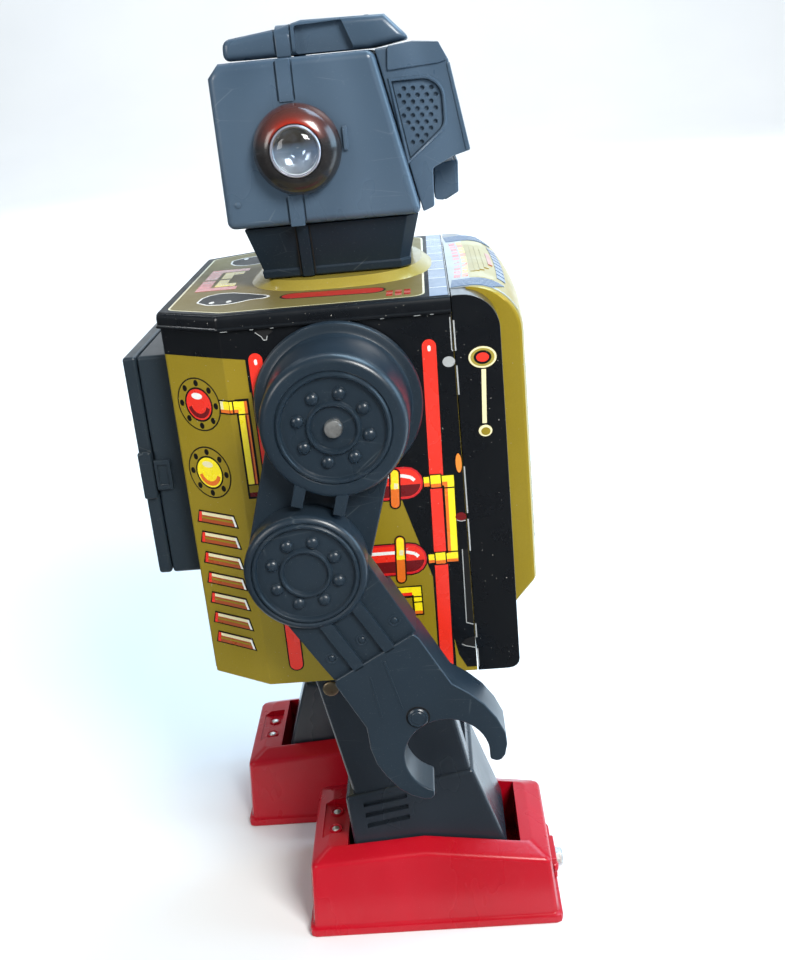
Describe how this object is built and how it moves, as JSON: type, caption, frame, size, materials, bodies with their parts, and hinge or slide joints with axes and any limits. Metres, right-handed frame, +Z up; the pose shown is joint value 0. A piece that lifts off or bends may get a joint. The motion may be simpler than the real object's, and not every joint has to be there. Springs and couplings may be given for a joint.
{
  "type": "toy robot",
  "caption": "Battery-operated walking tin robot with a moulded head, lamp ears, swinging clawed arms, stepping legs and a battery box on its back.",
  "frame": {"origin": "centre of the overall box, on the floor plane under the feet", "axes": "+Z up, -Y the way the robot faces, +X the robot's left"},
  "size_m": [0.1614, 0.121, 0.2854],
  "materials": {
    "tin_black": "gloss lithographed tin",
    "tin_gold": "satin metallic gold lithographed tin",
    "plastic_black": "satin moulded plastic",
    "plastic_red": "glossy moulded plastic",
    "steel": "bright",
    "chrome": "polished",
    "lens_red": "clear smoky red plastic",
    "glass": "clear",
    "brass": "bright",
    "cell_jacket": "printed metal jacket",
    "gear_plastic": "natural nylon"
  },
  "bodies": {
    "torso": {"body_shell": "tin_gold", "top_plate": "tin_gold", "base_plate": "tin_gold", "front_cover": "tin_black", "battery_case": "plastic_black", "door_hinge_pin": "steel", "battery_lower": "cell_jacket", "battery_upper": "cell_jacket", "contact_strip_right": "brass", "contact_strip_left": "brass", "neck": "plastic_black", "head_shell": "plastic_black", "crown": "plastic_black", "face": "plastic_black", "cheek_grille_right": "plastic_black", "cheek_grille_left": "plastic_black", "mouth_grille": "plastic_black", "lens_right": "lens_red", "lens_left": "lens_red", "reflector_right": "chrome", "reflector_left": "chrome", "bulb_right": "glass", "bulb_left": "glass", "motor": "steel", "gearbox_plate_right": "steel", "gearbox_plate_left": "steel", "hip_shaft": "steel"},
    "battery_door": {"battery_door": "plastic_black"},
    "switch": {"switch_lever": "plastic_red"},
    "crank": {"crank_gear": "gear_plastic", "crank_shaft": "steel"},
    "pinion": {"motor_pinion": "brass"},
    "right_upper_arm": {"upper_arm_right": "plastic_black", "shoulder_pin_right": "steel"},
    "right_forearm": {"forearm_right": "plastic_black", "hand_rivet_right": "plastic_black"},
    "right_leg": {"leg_right": "plastic_black", "leg_rivet_right": "brass"},
    "right_foot": {"foot_shell_right": "plastic_red", "foot_base_right": "tin_black", "ankle_pin_right": "steel", "toe_screw_right": "steel"},
    "right_front_roller": {"roller_front_right": "steel"},
    "right_rear_roller": {"roller_rear_right": "steel"},
    "left_upper_arm": {"upper_arm_left": "plastic_black", "shoulder_pin_left": "steel"},
    "left_forearm": {"forearm_left": "plastic_black", "hand_rivet_left": "plastic_black"},
    "left_leg": {"leg_left": "plastic_black", "leg_rivet_left": "brass"},
    "left_foot": {"foot_shell_left": "plastic_red", "foot_base_left": "tin_black", "ankle_pin_left": "steel", "toe_screw_left": "steel"},
    "left_front_roller": {"roller_front_left": "steel"},
    "left_rear_roller": {"roller_rear_left": "steel"}
  },
  "joints": [
    {"name": "battery_door_hinge", "type": "hinge", "parent": "torso", "child": "battery_door", "pos_m": [0.038, 0.05415, 0.1636], "axis": [0, 0, -1], "range_deg": [0, 110]},
    {"name": "switch_slide", "type": "slide", "parent": "torso", "child": "switch", "axis": [1, 0, 0], "range_m": [0, 0.008]},
    {"name": "crank_turn", "type": "hinge", "parent": "torso", "child": "crank", "pos_m": [0, -0.00325, 0.136], "axis": [1, 0, 0], "continuous": true},
    {"name": "pinion_turn", "type": "hinge", "parent": "torso", "child": "pinion", "pos_m": [0, -0.00325, 0.1552], "axis": [1, 0, 0], "continuous": true},
    {"name": "right_shoulder", "type": "hinge", "parent": "torso", "child": "right_upper_arm", "pos_m": [-0.066, -0.00325, 0.1851], "axis": [-1, 0, 0], "continuous": true},
    {"name": "right_elbow", "type": "hinge", "parent": "right_upper_arm", "child": "right_forearm", "pos_m": [-0.075, 0.00855, 0.1452], "axis": [-1, 0, 0], "range_deg": [-90, 40]},
    {"name": "right_hip", "type": "hinge", "parent": "torso", "child": "right_leg", "pos_m": [-0.0307, -0.00325, 0.101], "axis": [1, 0, 0], "range_deg": [0, 20.8]},
    {"name": "right_ankle", "type": "hinge", "parent": "right_leg", "child": "right_foot", "pos_m": [-0.0307, -0.01775, 0.022], "axis": [1, 0, 0], "range_deg": [-20.8, 0]},
    {"name": "right_front_roller_turn", "type": "hinge", "parent": "right_foot", "child": "right_front_roller", "pos_m": [-0.0307, -0.04975, 0.0049], "axis": [1, 0, 0], "continuous": true},
    {"name": "right_rear_roller_turn", "type": "hinge", "parent": "right_foot", "child": "right_rear_roller", "pos_m": [-0.0307, 0.01225, 0.0049], "axis": [1, 0, 0], "continuous": true},
    {"name": "left_shoulder", "type": "hinge", "parent": "torso", "child": "left_upper_arm", "pos_m": [0.066, -0.00325, 0.1851], "axis": [-1, 0, 0], "continuous": true},
    {"name": "left_elbow", "type": "hinge", "parent": "left_upper_arm", "child": "left_forearm", "pos_m": [0.075, 0.00855, 0.1452], "axis": [-1, 0, 0], "range_deg": [-90, 40]},
    {"name": "left_hip", "type": "hinge", "parent": "torso", "child": "left_leg", "pos_m": [0.0307, -0.00325, 0.101], "axis": [1, 0, 0], "range_deg": [-20.8, 0]},
    {"name": "left_ankle", "type": "hinge", "parent": "left_leg", "child": "left_foot", "pos_m": [0.0307, 0.01125, 0.022], "axis": [1, 0, 0], "range_deg": [0, 20.8]},
    {"name": "left_front_roller_turn", "type": "hinge", "parent": "left_foot", "child": "left_front_roller", "pos_m": [0.0307, -0.02075, 0.0049], "axis": [1, 0, 0], "continuous": true},
    {"name": "left_rear_roller_turn", "type": "hinge", "parent": "left_foot", "child": "left_rear_roller", "pos_m": [0.0307, 0.04125, 0.0049], "axis": [1, 0, 0], "continuous": true}
  ],
  "couplings": [
    {"joint": "pinion_turn", "follows": "crank_turn", "ratio": -3},
    {"joint": "right_ankle", "follows": "right_hip", "ratio": -1},
    {"joint": "left_hip", "follows": "right_hip", "ratio": -1},
    {"joint": "left_ankle", "follows": "right_hip", "ratio": 1}
  ]
}
